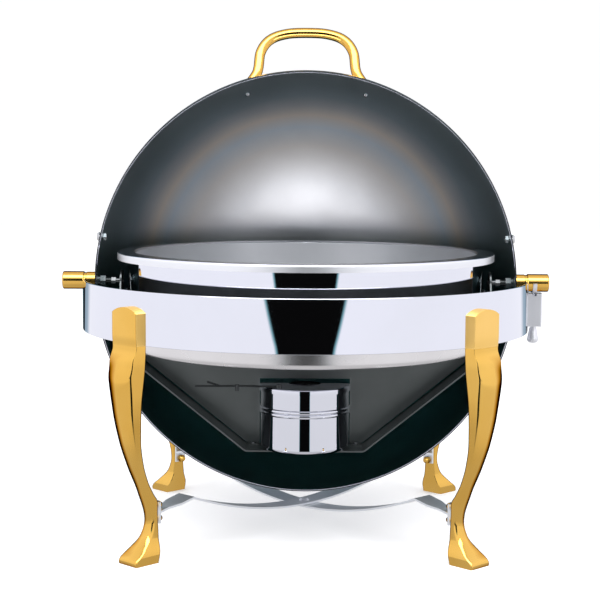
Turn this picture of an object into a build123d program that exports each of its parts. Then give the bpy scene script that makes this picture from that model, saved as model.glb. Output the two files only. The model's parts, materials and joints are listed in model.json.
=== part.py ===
from build123d import *
import math
import os

os.makedirs("parts", exist_ok=True)

# Round roll-top chafing dish, millimetres.
# Origin on the floor under the middle of the lid's pivot axis, +Z up, front at -Y, pivot axis along X.

# Driving dimensions
axis_height = 250.0
running_clearance = 0.05
sheet = 1.2

band_radius = 224.0
band_wall = 2.0
band_bottom = 204.5
band_top = 254.0

lid_radius = 212.0
lid_wall = 1.6
lid_rim_forward = 29.0
rim_bead_radius = 0.95

pin_radius = 9.0
pin_collar_radius = 8.5
pin_journal_radius = 7.95
pin_shank_radius = 3.2
pin_tip_radius = 1.9
pin_shoulder = 197.0
pin_outer_end = 246.0

leg_angle = 45.7
leg_width = 34.4
leg_face = band_radius + running_clearance
leg_thickness = 12.2
leg_arch_side = 234.6
leg_arch_middle = 240.0
ankle_face = 200.0
screw_radius = 2.0
small_rivet_radius = 1.5
large_rivet_radius = 3.0
leg_screw_heights = (226.0, 212.0)
brace_nut_heights = (51.5, 38.5)

brace_width = 22.0
brace_flange_width = 13.0
brace_thickness = 2.0
brace_middle_height = 21.0
brace_gap = 0.4

handle_lean = math.radians(19.0)
handle_bar_radius = 5.3
handle_foot_half = 62.0
handle_reach = 270.4
handle_screw_radius = 1.9
handle_screw_depth = 7.5

ear_distance = 186.5
cradle_width = 40.0
cradle_wall = 1.6
cradle_base_height = 79.0
cradle_base_half = 60.0
cradle_slope = 0.8
ear_tip_radius = 11.0
hoop_rivet_drops = (14.0, 32.0)
shield_rivet_x = 53.0
shield_rivet_y = 13.0

cup_radius = 45.0
cup_bottom = cradle_base_height + cradle_wall / 2 + running_clearance
cup_top = 144.2

pan_lip_radius = 189.0
pan_lip_drop = 7.0
pan_well_top_radius = 172.0
pan_well_floor_radius = 166.5
pan_well_floor = axis_height - 34.0

brake_x = 231.5
brake_top = axis_height - 10.2
brake_bottom = axis_height - 44.0
shoe_radius = pin_radius + 2.2
brake_screw_radius = 1.5
brake_screw_height = axis_height - 27.0
brake_screw_spread = 5.2
stem_radius = 2.1
saddle_thickness = 4.0

leg_directions = {
    "leg_front_left": 180 + leg_angle,
    "leg_front_right": -leg_angle,
    "leg_rear_left": 180 - leg_angle,
    "leg_rear_right": leg_angle,
}
lid_centre = (0, 0, axis_height)


def radial_plane(angle):
    """The upright plane through the Z axis whose x runs outwards at this angle and whose y is up."""
    turn = math.radians(angle)
    outwards = (math.cos(turn), math.sin(turn), 0)
    return Plane(origin=(0, 0, 0), x_dir=outwards, z_dir=(outwards[1], -outwards[0], 0))


def facing_plane(angle, distance, height):
    """The upright plane that faces outwards at this angle, with its origin at distance and height."""
    turn = math.radians(angle)
    outwards = (math.cos(turn), math.sin(turn), 0)
    origin = (distance * outwards[0], distance * outwards[1], height)
    return Plane(origin=origin, x_dir=(-outwards[1], outwards[0], 0), z_dir=outwards)


def side_plane(side, distance, height=axis_height, y=0.0):
    """The plane that faces outwards at +X (side 1) or -X (side -1), with its y axis up."""
    return Plane(origin=(side * distance, y, height), x_dir=(0, side, 0), z_dir=(side, 0, 0))


# Support ring: a polished band with an open notch on each side for the pivot pins
notch_radius = pin_journal_radius + running_clearance
with BuildPart() as support_ring:
    with BuildSketch(Plane.XY.offset(band_bottom)):
        Circle(band_radius)
        Circle(band_radius - band_wall, mode=Mode.SUBTRACT)
    extrude(amount=band_top - band_bottom)
    fillet(support_ring.edges().group_by(Axis.Z)[-1], 0.7)
    fillet(support_ring.edges().group_by(Axis.Z)[0], 0.4)
    with BuildSketch(Plane.YZ):
        with Locations((0, axis_height)):
            Circle(notch_radius)
        with Locations((0, axis_height + 5)):
            Rectangle(2 * notch_radius, 10)
    extrude(amount=band_radius + 2, both=True, mode=Mode.SUBTRACT)
    for angle in leg_directions.values():
        for height in leg_screw_heights:
            with BuildSketch(facing_plane(angle, band_radius - 6, height)):
                Circle(screw_radius + running_clearance)
            extrude(amount=10, mode=Mode.SUBTRACT)
    for y in (-brake_screw_spread, brake_screw_spread):
        with BuildSketch(side_plane(1, band_radius - 6, brake_screw_height, y)):
            Circle(brake_screw_radius + running_clearance)
        extrude(amount=10, mode=Mode.SUBTRACT)
support_ring.part.label = "support_ring"
export_step(support_ring.part, "parts/support_ring.step")


# Legs: cabriole castings with an arched block on the band, a knee, a slim ankle and a flared foot
def build_leg(name, angle):
    outer = leg_face + leg_thickness
    with BuildPart() as leg:
        with BuildSketch(radial_plane(angle)):
            with BuildLine():
                Line((leg_face, 242), (outer, 242))
                Line((outer, 242), (outer, 214))
                Spline(
                    (outer, 214), (outer - 0.9, 203), (246.3, 173), (238, 116),
                    (218, 66), (209.8, 38), (224, 13), (234, 3),
                    tangents=((0, -1), (0.5, -1)),
                )
                Line((234, 3), (233, 0))
                Line((233, 0), (206, 0))
                Spline((206, 0), (201, 17), (ankle_face, 32), tangents=((-0.5, 1), (0, 1)))
                Line((ankle_face, 32), (ankle_face, 55))
                Spline(
                    (ankle_face, 55), (212.5, 76), (223.5, 116), (leg_face, 186),
                    tangents=((0.2, 1), (0, 1)),
                )
                Line((leg_face, 186), (leg_face, 242))
            make_face()
        extrude(amount=leg_width, both=True)
        with BuildSketch(facing_plane(angle, 0, 0)):
            with BuildLine():
                half = leg_width / 2
                ThreePointArc((-half, leg_arch_side), (0, leg_arch_middle), (half, leg_arch_side))
                Line((half, leg_arch_side), (half, 190))
                Spline(
                    (half, 190), (14.2, 144), (9.3, 90), (6.5, 46), (8.2, 22), (13, 6),
                    tangents=((0, -1), (0.3, -1)),
                )
                Line((13, 6), (13, 0))
                Line((13, 0), (-13, 0))
                Line((-13, 0), (-13, 6))
                Spline(
                    (-13, 6), (-8.2, 22), (-6.5, 46), (-9.3, 90), (-14.2, 144), (-half, 190),
                    tangents=((0.3, 1), (0, 1)),
                )
                Line((-half, 190), (-half, leg_arch_side))
            make_face()
        extrude(amount=260, mode=Mode.INTERSECT)
        for height in leg_screw_heights:
            with BuildSketch(facing_plane(angle, leg_face - 5, height)):
                Circle(screw_radius + running_clearance)
            extrude(amount=15, mode=Mode.SUBTRACT)
        for height in brace_nut_heights:
            with BuildSketch(facing_plane(angle, ankle_face - 5, height)):
                Circle(screw_radius + running_clearance)
            extrude(amount=12, mode=Mode.SUBTRACT)
    leg.part.label = name
    export_step(leg.part, f"parts/{name}.step")


for leg_name, leg_direction in leg_directions.items():
    build_leg(leg_name, leg_direction)

# Leg screws: two behind each leg, with their heads inside the band
with BuildPart() as leg_screws:
    for angle in leg_directions.values():
        for height in leg_screw_heights:
            with BuildSketch(facing_plane(angle, 219.6, height)):
                Circle(4.2)
            extrude(amount=2.3)
            with BuildSketch(facing_plane(angle, 221.9, height)):
                Circle(screw_radius)
            extrude(amount=11)
leg_screws.part.label = "leg_screws"
export_step(leg_screws.part, "parts/leg_screws.step")


# Braces: two straps that cross under the lid, each with a raised shoulder and a flange on the leg
def build_brace(name, angle, middle_height):
    shoulder = (160.5, 54.0)
    flange_line = ankle_face - running_clearance - brace_thickness / 2
    with BuildPart() as brace:
        with BuildSketch(radial_plane(angle)):
            with BuildLine():
                Line((-flange_line, 45.5), (-shoulder[0], shoulder[1]))
                ThreePointArc((-shoulder[0], shoulder[1]), (0, middle_height), shoulder)
                Line(shoulder, (flange_line, 45.5))
            trace(line_width=brace_thickness)
            for side in (-1, 1):
                with Locations((side * flange_line, 45)):
                    Rectangle(brace_thickness, 20)
        extrude(amount=brace_width / 2, both=True)
        # the strap narrows to the ankle at both ends
        with BuildSketch(Plane(origin=(0, 0, 0), x_dir=radial_plane(angle).x_dir, z_dir=(0, 0, 1))):
            for side in (-1, 1):
                for edge in (-1, 1):
                    with BuildLine():
                        Polyline(
                            (side * 176, edge * 20),
                            (side * 176, edge * brace_width / 2),
                            (side * 188, edge * brace_flange_width / 2),
                            (side * 205, edge * brace_flange_width / 2),
                            (side * 205, edge * 20),
                            close=True,
                        )
                    make_face()
        extrude(amount=90, mode=Mode.SUBTRACT)
        with BuildSketch(Plane.XY):
            Circle(large_rivet_radius + running_clearance)
        extrude(amount=40, mode=Mode.SUBTRACT)
        for end_angle in (angle, angle + 180):
            for height in brace_nut_heights:
                with BuildSketch(facing_plane(end_angle, flange_line - 3, height)):
                    Circle(screw_radius + running_clearance)
                extrude(amount=6, mode=Mode.SUBTRACT)
    brace.part.label = name
    export_step(brace.part, f"parts/{name}.step")


build_brace("brace_upper", leg_angle, brace_middle_height + brace_thickness + brace_gap)
build_brace("brace_lower", -leg_angle, brace_middle_height)

# Rivet where the braces cross
rivet_seat = brace_middle_height - brace_thickness / 2 - running_clearance
rivet_grip = 2 * brace_thickness + brace_gap + 2 * running_clearance
with BuildPart() as brace_rivet:
    with BuildSketch(Plane.XY.offset(rivet_seat)):
        Circle(large_rivet_radius)
    extrude(amount=rivet_grip)
    with BuildSketch(Plane.XY.offset(rivet_seat + rivet_grip)):
        Circle(5.5)
    extrude(amount=2.2, taper=40)
    with BuildSketch(Plane.XY.offset(rivet_seat)):
        Circle(5.2)
    extrude(amount=-1.5, taper=30)
brace_rivet.part.label = "brace_rivet"
export_step(brace_rivet.part, "parts/brace_rivet.step")

# Brace nuts: gold domed nuts on studs in the ankles
with BuildPart() as brace_nuts:
    for angle in leg_directions.values():
        for height in brace_nut_heights:
            inner = ankle_face - 2 * running_clearance - brace_thickness
            with BuildSketch(facing_plane(angle, inner - 3.2, height)):
                RegularPolygon(4.0, 6)
            extrude(amount=3.2)
            with BuildSketch(facing_plane(angle, inner - 5.4, height)):
                Circle(2.2)
            with BuildSketch(facing_plane(angle, inner - 3.2, height)):
                Circle(3.4)
            loft()
            with BuildSketch(facing_plane(angle, inner, height)):
                Circle(screw_radius)
            extrude(amount=8)
brace_nuts.part.label = "brace_nuts"
export_step(brace_nuts.part, "parts/brace_nuts.step")

# Lid: a spherical shell a little deeper than a half sphere, standing open with its rim upright
lid_inner_radius = lid_radius - lid_wall
rim_outer = math.sqrt(lid_radius**2 - lid_rim_forward**2)
rim_inner = math.sqrt(lid_inner_radius**2 - lid_rim_forward**2)
side_screw_height = 44.0


def handle_plane(side, distance):
    """The plane across a handle foot at this distance from the lid's centre, facing outwards."""
    spread = math.asin(handle_foot_half / lid_radius)
    up = (0, math.sin(handle_lean), math.cos(handle_lean))
    along = (side * math.sin(spread), math.cos(spread) * up[1], math.cos(spread) * up[2])
    across = (side * math.cos(spread), -math.sin(spread) * up[1], -math.sin(spread) * up[2])
    origin = (distance * along[0], distance * along[1], axis_height + distance * along[2])
    return Plane(origin=origin, x_dir=across, z_dir=along)


with BuildPart() as lid_shell:
    with BuildSketch(Plane.XY.offset(axis_height)):
        with BuildLine():
            middle = math.sqrt(0.5)
            Line((rim_outer, -lid_rim_forward), (rim_inner, -lid_rim_forward))
            ThreePointArc(
                (rim_inner, -lid_rim_forward),
                (lid_inner_radius * middle, lid_inner_radius * middle),
                (0, lid_inner_radius),
            )
            Line((0, lid_inner_radius), (0, lid_radius))
            ThreePointArc(
                (0, lid_radius), (lid_radius * middle, lid_radius * middle), (rim_outer, -lid_rim_forward)
            )
        make_face()
        with Locations(((rim_outer + rim_inner) / 2, -lid_rim_forward)):
            Circle(rim_bead_radius)
    revolve(axis=Axis(lid_centre, (0, 1, 0)))
    for side in (-1, 1):
        with BuildSketch(side_plane(side, lid_radius - 8)):
            Circle(pin_shank_radius + running_clearance)
        extrude(amount=12, mode=Mode.SUBTRACT)
        with BuildSketch(side_plane(side, lid_radius - 14, axis_height + side_screw_height)):
            Circle(screw_radius + running_clearance)
        extrude(amount=18, mode=Mode.SUBTRACT)
        with BuildSketch(handle_plane(side, lid_radius - 14)):
            Circle(handle_screw_radius + running_clearance)
        extrude(amount=18, mode=Mode.SUBTRACT)
lid_shell.part.label = "lid_shell"
export_step(lid_shell.part, "parts/lid_shell.step")

# Lid handle: a round bar, bowed at the top, whose feet turn out to stand square on the lid
handle_face = Plane(
    origin=lid_centre, x_dir=(1, 0, 0), z_dir=(0, -math.cos(handle_lean), math.sin(handle_lean))
)
foot_reach = math.sqrt(lid_radius**2 - handle_foot_half**2)
handle_side = (
    (handle_foot_half, foot_reach),
    (51.8, 226.5),
    (48.6, 248.5),
    (39, 262.2),
    (22, 268.9),
)
with BuildPart() as lid_handle:
    with BuildLine(handle_face) as handle_path:
        left = [(-across, reach) for across, reach in handle_side]
        Spline(
            *left, (0, handle_reach), *reversed(handle_side),
            tangents=((handle_foot_half, foot_reach), (handle_foot_half, -foot_reach)),
        )
    with BuildSketch(handle_plane(-1, lid_radius)):
        Circle(handle_bar_radius)
    sweep(path=handle_path.line)
    for side in (-1, 1):
        with BuildSketch(handle_plane(side, lid_radius - 3)):
            Circle(handle_bar_radius)
        extrude(amount=3)
    with Locations(lid_centre):
        Sphere(lid_radius + running_clearance, mode=Mode.SUBTRACT)
    for side in (-1, 1):
        with BuildSketch(handle_plane(side, lid_radius - 3)):
            Circle(handle_screw_radius + running_clearance)
        extrude(amount=3 + handle_screw_depth + 0.5, mode=Mode.SUBTRACT)
lid_handle.part.label = "lid_handle"
export_step(lid_handle.part, "parts/lid_handle.step")

# Handle screws: from inside the lid into the feet of the bar
handle_screw_seat = lid_inner_radius - 0.1
with BuildPart() as handle_screws:
    for side in (-1, 1):
        with BuildSketch(handle_plane(side, handle_screw_seat)):
            Circle(handle_screw_radius)
        extrude(amount=lid_radius + handle_screw_depth - handle_screw_seat)
        with BuildSketch(handle_plane(side, handle_screw_seat)):
            Circle(3)
        extrude(amount=-2, taper=25)
handle_screws.part.label = "handle_screws"
export_step(handle_screws.part, "parts/handle_screws.step")

# Lid side screws: one above each pivot, domed head outside and a nut inside
with BuildPart() as lid_side_screws:
    for side in (-1, 1):
        height = axis_height + side_screw_height
        seat = math.sqrt(lid_radius**2 - side_screw_height**2)
        inside = seat - lid_wall - 1.3
        with BuildSketch(side_plane(side, inside - 3, height)):
            Circle(screw_radius)
        extrude(amount=seat + 2 - inside + 3)
        with BuildSketch(side_plane(side, seat + 1.2, height)):
            Circle(5)
        extrude(amount=2.4, taper=30)
        with BuildSketch(side_plane(side, inside - 2.8, height)):
            RegularPolygon(4, 6)
        extrude(amount=2.8)
lid_side_screws.part.label = "lid_side_screws"
export_step(lid_side_screws.part, "parts/lid_side_screws.step")


# Pivot pins: gold bar with a groove that turns in the band's notch and a slim tip that carries the ear
def build_pivot_pin(name, side):
    tip_start = ear_distance - 2.5
    with BuildPart() as pin:
        for radius, start, end in (
            (pin_tip_radius, tip_start, pin_shoulder),
            (pin_shank_radius, pin_shoulder, lid_radius),
            (pin_collar_radius, lid_radius, band_radius - band_wall - 0.4),
            (pin_journal_radius, band_radius - band_wall - 0.4, band_radius + 0.4),
            (pin_radius, band_radius + 0.4, pin_outer_end),
        ):
            with BuildSketch(side_plane(side, start)):
                Circle(radius)
            extrude(amount=end - start)
        rims = pin.edges().filter_by(GeomType.CIRCLE)
        fillet(rims.filter_by(lambda e: abs(abs(e.center().X) - pin_outer_end) < 0.01), 1.2)
    pin.part.label = name
    export_step(pin.part, f"parts/{name}.step")


build_pivot_pin("pivot_pin_left", -1)
build_pivot_pin("pivot_pin_right", 1)


# Nuts and rings along the pivot axis: (outline, distance from the middle, thickness) of each, on both sides
def build_axis_nuts(name, bore, pieces):
    with BuildPart() as nuts:
        for side in (-1, 1):
            for sides, across, distance, thickness in pieces:
                with BuildSketch(side_plane(side, distance)):
                    if sides:
                        RegularPolygon(across / 2, sides, major_radius=False)
                    else:
                        Circle(across / 2)
                extrude(amount=thickness)
            with BuildSketch(side_plane(side, ear_distance)):
                Circle(bore)
            extrude(amount=lid_radius - ear_distance, mode=Mode.SUBTRACT)
    nuts.part.label = name
    export_step(nuts.part, f"parts/{name}.step")


lid_nut_and_washer = ((6, 9.8, 202.4, 5.2), (0, 11, 207.6, 2.6))
ear_nut_and_spacer = ((6, 6.2, 192.4, 4.4), (0, 5.4, 187.4, 5.0))
build_axis_nuts("pivot_nuts", pin_shank_radius + running_clearance, lid_nut_and_washer)
build_axis_nuts("ear_nuts", pin_tip_radius + running_clearance, ear_nut_and_spacer)

# Burner cradle: one wide strap bent into a flat base, two slopes and two upright ears
slope_top = cradle_base_height + cradle_slope * (ear_distance - cradle_base_half)
ear_top = axis_height + ear_tip_radius
with BuildPart() as burner_cradle:
    with BuildSketch(Plane.XZ):
        with BuildLine():
            FilletPolyline(
                (-ear_distance, ear_top),
                (-ear_distance, slope_top),
                (-cradle_base_half, cradle_base_height),
                (cradle_base_half, cradle_base_height),
                (ear_distance, slope_top),
                (ear_distance, ear_top),
                radius=5,
            )
        trace(line_width=cradle_wall)
    extrude(amount=cradle_width / 2, both=True)
    # the ears narrow to a rounded end about the pivot axis
    with BuildSketch(Plane.YZ):
        with BuildLine():
            half = cradle_width / 2
            Polyline((-ear_tip_radius, axis_height), (-half, axis_height - 24), (-half, 60), (half, 60))
            Polyline((half, 60), (half, axis_height - 24), (ear_tip_radius, axis_height))
            ThreePointArc((ear_tip_radius, axis_height), (0, ear_top), (-ear_tip_radius, axis_height))
        make_face()
    extrude(amount=200, both=True, mode=Mode.INTERSECT)
    with BuildSketch(Plane.YZ):
        with Locations((0, axis_height)):
            Circle(pin_tip_radius + running_clearance)
        with Locations(*[(0, axis_height - drop) for drop in hoop_rivet_drops]):
            Circle(screw_radius + running_clearance)
    extrude(amount=200, both=True, mode=Mode.SUBTRACT)
    with BuildSketch(Plane.XY.offset(70)):
        Circle(large_rivet_radius + running_clearance)
        with Locations((-shield_rivet_x, shield_rivet_y), (shield_rivet_x, shield_rivet_y)):
            Circle(small_rivet_radius + running_clearance)
    extrude(amount=20, mode=Mode.SUBTRACT)
burner_cradle.part.label = "burner_cradle"
export_step(burner_cradle.part, "parts/burner_cradle.step")

# Shield plate: stands on the back of the cradle, fills it behind the burner and is cut out round the cup
shield_back = 19.6
shield_gap = 1.6
shield_bottom = cradle_base_height + cradle_wall / 2 + running_clearance
shield_top = axis_height - 78
shield_bottom_half = cradle_base_half - 1.5
shield_top_half = shield_bottom_half + (shield_top - shield_bottom) / cradle_slope
with BuildPart() as shield_plate:
    with BuildSketch(Plane.XZ.offset(-shield_back)):
        with BuildLine():
            Polyline(
                (-shield_bottom_half, shield_bottom),
                (shield_bottom_half, shield_bottom),
                (shield_top_half - shield_gap, shield_top),
                (-shield_top_half + shield_gap, shield_top),
                close=True,
            )
        make_face()
        with Locations((0, shield_bottom + 32)):
            Rectangle(2 * cup_radius + 3, 72, mode=Mode.SUBTRACT)
    extrude(amount=sheet)
    for side in (-1, 1):
        with BuildSketch(Plane.XY.offset(shield_bottom)):
            with Locations((side * shield_rivet_x, shield_back - 6)):
                Rectangle(10, 12)
            with Locations((side * shield_rivet_x, shield_rivet_y)):
                Circle(small_rivet_radius + running_clearance, mode=Mode.SUBTRACT)
        extrude(amount=sheet)
shield_plate.part.label = "shield_plate"
export_step(shield_plate.part, "parts/shield_plate.step")

# Rivets through the shield's feet and the cradle
with BuildPart() as shield_rivets:
    low = cradle_base_height - cradle_wall / 2 - running_clearance
    high = shield_bottom + sheet + running_clearance
    for side in (-1, 1):
        for radius, start, end in (
            (2.8, low - 1, low),
            (small_rivet_radius, low, high),
            (2.8, high, high + 1),
        ):
            with BuildSketch(Plane(origin=(side * shield_rivet_x, shield_rivet_y, start))):
                Circle(radius)
            extrude(amount=end - start)
shield_rivets.part.label = "shield_rivets"
export_step(shield_rivets.part, "parts/shield_rivets.step")

# Pan hoop: a satin ring with a ledge that carries the water pan
hoop_top_radius = 181.2
ledge_height = axis_height - 65.2
with BuildPart() as pan_hoop:
    with BuildSketch(Plane.XZ):
        with BuildLine():
            FilletPolyline(
                (hoop_top_radius, axis_height - 8), (176.2, ledge_height), (160, ledge_height), radius=6
            )
        trace(line_width=1.6)
    revolve(axis=Axis.Z)
    with BuildSketch(Plane.YZ):
        with Locations(*[(0, axis_height - drop) for drop in hoop_rivet_drops]):
            Circle(screw_radius + running_clearance)
    extrude(amount=200, both=True, mode=Mode.SUBTRACT)
pan_hoop.part.label = "pan_hoop"
export_step(pan_hoop.part, "parts/pan_hoop.step")

# Rivets that hold the hoop between the ears: the collar keeps the two apart
with BuildPart() as hoop_rivets:
    ear_inner = ear_distance - cradle_wall / 2 - running_clearance
    ear_outer = ear_distance + cradle_wall / 2 + running_clearance
    for side in (-1, 1):
        for drop in hoop_rivet_drops:
            hoop_middle = hoop_top_radius - 5.0 * (drop - 8) / 57.2
            for radius, start, end in (
                (3.4, hoop_middle - 2.2, hoop_middle - 1.2),
                (screw_radius, hoop_middle - 1.2, ear_outer),
                (3.4, hoop_middle + 1.2, ear_inner),
                (3.4, ear_outer, ear_outer + 1.8),
            ):
                with BuildSketch(side_plane(side, start, axis_height - drop)):
                    Circle(radius)
                extrude(amount=end - start)
hoop_rivets.part.label = "hoop_rivets"
export_step(hoop_rivets.part, "parts/hoop_rivets.step")

# Water pan: stands on the hoop's ledge
water_flange = axis_height + 29.35
with BuildPart() as water_pan:
    with BuildSketch(Plane.XZ):
        with BuildLine():
            FilletPolyline(
                (185.8, water_flange),
                (178.0, water_flange),
                (177.8, axis_height - 5),
                (173.4, ledge_height + 1.45),
                (0, ledge_height + 1.45),
                radius=4,
            )
        trace(line_width=sheet)
        with Locations((-10, ledge_height)):
            Rectangle(20, 20, mode=Mode.SUBTRACT)
    revolve(axis=Axis.Z)
water_pan.part.label = "water_pan"
export_step(water_pan.part, "parts/water_pan.step")

# Food pan: hangs in the water pan by a flange with a turned-down edge
food_rim = axis_height + 30.6
with BuildPart() as food_pan:
    with BuildSketch(Plane.XZ):
        with BuildLine():
            FilletPolyline(
                (pan_lip_radius, food_rim - pan_lip_drop),
                (pan_lip_radius, food_rim),
                (pan_well_top_radius, food_rim),
                (pan_well_top_radius, food_rim - 8),
                radius=2,
            )
        trace(line_width=sheet)
        with BuildLine():
            FilletPolyline(
                (pan_well_top_radius, food_rim - 8),
                (pan_well_floor_radius, pan_well_floor),
                (0, pan_well_floor),
                radius=12,
            )
        trace(line_width=sheet)
        with Locations((-10, pan_well_floor)):
            Rectangle(20, 20, mode=Mode.SUBTRACT)
    revolve(axis=Axis.Z)
food_pan.part.label = "food_pan"
export_step(food_pan.part, "parts/food_pan.step")

# Burner cup: a straight drawn cup with a double bead
cup_line = cup_radius - sheet / 2
with BuildPart() as burner_cup:
    with BuildSketch(Plane.XZ):
        with BuildLine():
            for low in (116.6, 120.2):
                ThreePointArc((cup_line, low), (cup_line + 1.3, low + 1.7), (cup_line, low + 3.4))
            Line((cup_line, 120.0), (cup_line, 120.2))
            Line((cup_line, 123.6), (cup_line, cup_top))
        trace(line_width=sheet)
        with BuildLine():
            FilletPolyline(
                (cup_line, 116.7), (cup_line, cup_bottom + sheet / 2), (0, cup_bottom + sheet / 2), radius=3
            )
        trace(line_width=sheet)
        with Locations((-10, cup_bottom)):
            Rectangle(20, 20, mode=Mode.SUBTRACT)
        with Locations((0, cup_bottom)):
            Rectangle(2 * large_rivet_radius + 2 * running_clearance, 4, mode=Mode.SUBTRACT)
    revolve(axis=Axis.Z)
burner_cup.part.label = "burner_cup"
export_step(burner_cup.part, "parts/burner_cup.step")

# Screw that holds the cup on the cradle, with its nut under the strap
with BuildPart() as cup_screw:
    strap_bottom = cradle_base_height - cradle_wall / 2 - running_clearance
    head_seat = cup_bottom + sheet + running_clearance
    with BuildSketch(Plane.XY.offset(head_seat)):
        Circle(5)
    extrude(amount=1.4, taper=20)
    with BuildSketch(Plane.XY.offset(strap_bottom - 4)):
        Circle(large_rivet_radius)
    extrude(amount=head_seat - strap_bottom + 4)
    with BuildSketch(Plane.XY.offset(strap_bottom - 3.2)):
        RegularPolygon(5, 6)
    extrude(amount=3.2)
cup_screw.part.label = "cup_screw"
export_step(cup_screw.part, "parts/cup_screw.step")

# Fuel can: a plain tin with a rolled rim and a shallow recessed top
can_bottom = cup_bottom + sheet + 1.8
can_height = 50.0
with BuildPart() as fuel_can:
    with BuildSketch(Plane.XY.offset(can_bottom)):
        Circle(40)
    extrude(amount=can_height)
    with BuildSketch(Plane.XY.offset(can_bottom + can_height)):
        Circle(38.4)
        Circle(17, mode=Mode.SUBTRACT)
    extrude(amount=-2.5, mode=Mode.SUBTRACT)
    with BuildSketch(Plane.XY.offset(can_bottom + can_height)):
        Circle(15.5)
    extrude(amount=-12, mode=Mode.SUBTRACT)
    fillet(fuel_can.faces().sort_by(Axis.Z)[0].edges(), 1.5)
fuel_can.part.label = "fuel_can"
export_step(fuel_can.part, "parts/fuel_can.step")

# Burner cover: a cap that turns on the cup's rim, with a round flame opening
cover_under = cup_top + running_clearance
lever_fix = -26.0
lever_depth = -30.0
with BuildPart() as burner_cover:
    with BuildSketch(Plane.XZ):
        with BuildLine():
            FilletPolyline(
                (cup_radius + 0.8, cover_under - 4.5),
                (cup_radius + 0.8, cover_under + 0.6),
                (16, cover_under + 0.6),
                radius=0.9,
            )
        trace(line_width=sheet)
    revolve(axis=Axis.Z)
    with BuildSketch(Plane.XY.offset(cover_under - 1)):
        with Locations((lever_fix, lever_depth)):
            Circle(small_rivet_radius + running_clearance)
    extrude(amount=4, mode=Mode.SUBTRACT)
burner_cover.part.label = "burner_cover"
export_step(burner_cover.part, "parts/burner_cover.step")

# Lever: a thin strip with a forked end that turns the cover
lever_under = cover_under + sheet + running_clearance
with BuildPart() as burner_lever:
    with BuildSketch(Plane.XZ.offset(-lever_depth)):
        with BuildLine():
            Polyline((-23, lever_under + 0.8), (-60, lever_under + 1.6), (-110, lever_under + 1.2))
        trace(line_width=1.5)
        with BuildLine():
            Polyline((-85, lever_under + 1.4), (-98, lever_under + 5.6))
        trace(line_width=1.5)
    extrude(amount=1.6, both=True)
    with BuildSketch(Plane(origin=(-68, lever_depth, lever_under - 3.4))):
        Circle(1.9)
    extrude(amount=6.6)
    with BuildSketch(Plane(origin=(lever_fix, lever_depth, lever_under))):
        Circle(3.2)
    extrude(amount=1.6)
    with BuildSketch(Plane(origin=(lever_fix, lever_depth, lever_under - 1))):
        Circle(small_rivet_radius + running_clearance)
    extrude(amount=5, mode=Mode.SUBTRACT)
burner_lever.part.label = "burner_lever"
export_step(burner_lever.part, "parts/burner_lever.step")

# Rivet that holds the lever on the cover
with BuildPart() as lever_rivet:
    for radius, start, end in (
        (2.4, cover_under - 1.0, cover_under - running_clearance),
        (small_rivet_radius, cover_under - running_clearance, lever_under + 1.9),
        (2.6, lever_under + 1.7, lever_under + 3.0),
    ):
        with BuildSketch(Plane(origin=(lever_fix, lever_depth, start))):
            Circle(radius)
        extrude(amount=end - start)
lever_rivet.part.label = "lever_rivet"
export_step(lever_rivet.part, "parts/lever_rivet.step")

# Lid brake, right side: a housing on the band, a saddle shoe on a spring, and a knurled knob below
with BuildPart() as brake_housing:
    with BuildSketch(Plane.XY.offset(brake_bottom)):
        with Locations((brake_x, 0)):
            Rectangle(16, 14)
    extrude(amount=brake_top - brake_bottom)
    fillet(brake_housing.edges().filter_by(Axis.Z), 1.5)
    fillet(brake_housing.faces().sort_by(Axis.Z)[0].edges(), 0.8)
    with BuildSketch(Plane.XY.offset(brake_bottom)):
        Circle(band_radius + running_clearance)
    extrude(amount=60, mode=Mode.SUBTRACT)
    # slot for the saddle, bore for the stem and spring, hole for the knob's screw
    with BuildSketch(Plane.XY.offset(brake_top - 2.6)):
        with Locations((brake_x, 0)):
            Rectangle(saddle_thickness + 0.4, 20)
    extrude(amount=5, mode=Mode.SUBTRACT)
    with BuildSketch(Plane.XY.offset(brake_bottom + 4)):
        with Locations((brake_x, 0)):
            Circle(4.2)
    extrude(amount=brake_top - 2.6 - brake_bottom - 7, mode=Mode.SUBTRACT)
    with BuildSketch(Plane.XY.offset(brake_bottom - 1)):
        with Locations((brake_x, 0)):
            Circle(2.6 + running_clearance)
    extrude(amount=6, mode=Mode.SUBTRACT)
    with BuildSketch(Plane.XY.offset(brake_top - 8)):
        with Locations((brake_x, 0)):
            Circle(stem_radius + running_clearance)
    extrude(amount=10, mode=Mode.SUBTRACT)
    for y in (-brake_screw_spread, brake_screw_spread):
        with BuildSketch(side_plane(1, band_radius - 2, brake_screw_height, y)):
            Circle(brake_screw_radius + running_clearance)
        extrude(amount=10, mode=Mode.SUBTRACT)
brake_housing.part.label = "brake_housing"
export_step(brake_housing.part, "parts/brake_housing.step")

# Shoe: a half-round saddle that hugs the pin from below, on a stem with a collar
shoe_bottom = axis_height - shoe_radius
stem_bottom = brake_top - 15
with BuildPart() as brake_shoe:
    with BuildSketch(side_plane(1, brake_x - saddle_thickness / 2)):
        Circle(shoe_radius)
        Circle(pin_radius + running_clearance, mode=Mode.SUBTRACT)
        with Locations((0, 10)):
            Rectangle(30, 20, mode=Mode.SUBTRACT)
    extrude(amount=saddle_thickness)
    with BuildSketch(Plane.XY.offset(stem_bottom)):
        with Locations((brake_x, 0)):
            Circle(stem_radius)
    extrude(amount=shoe_bottom + 0.4 - stem_bottom)
    with BuildSketch(Plane.XY.offset(stem_bottom)):
        with Locations((brake_x, 0)):
            Circle(3.9)
    extrude(amount=2)
brake_shoe.part.label = "brake_shoe"
export_step(brake_shoe.part, "parts/brake_shoe.step")

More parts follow.
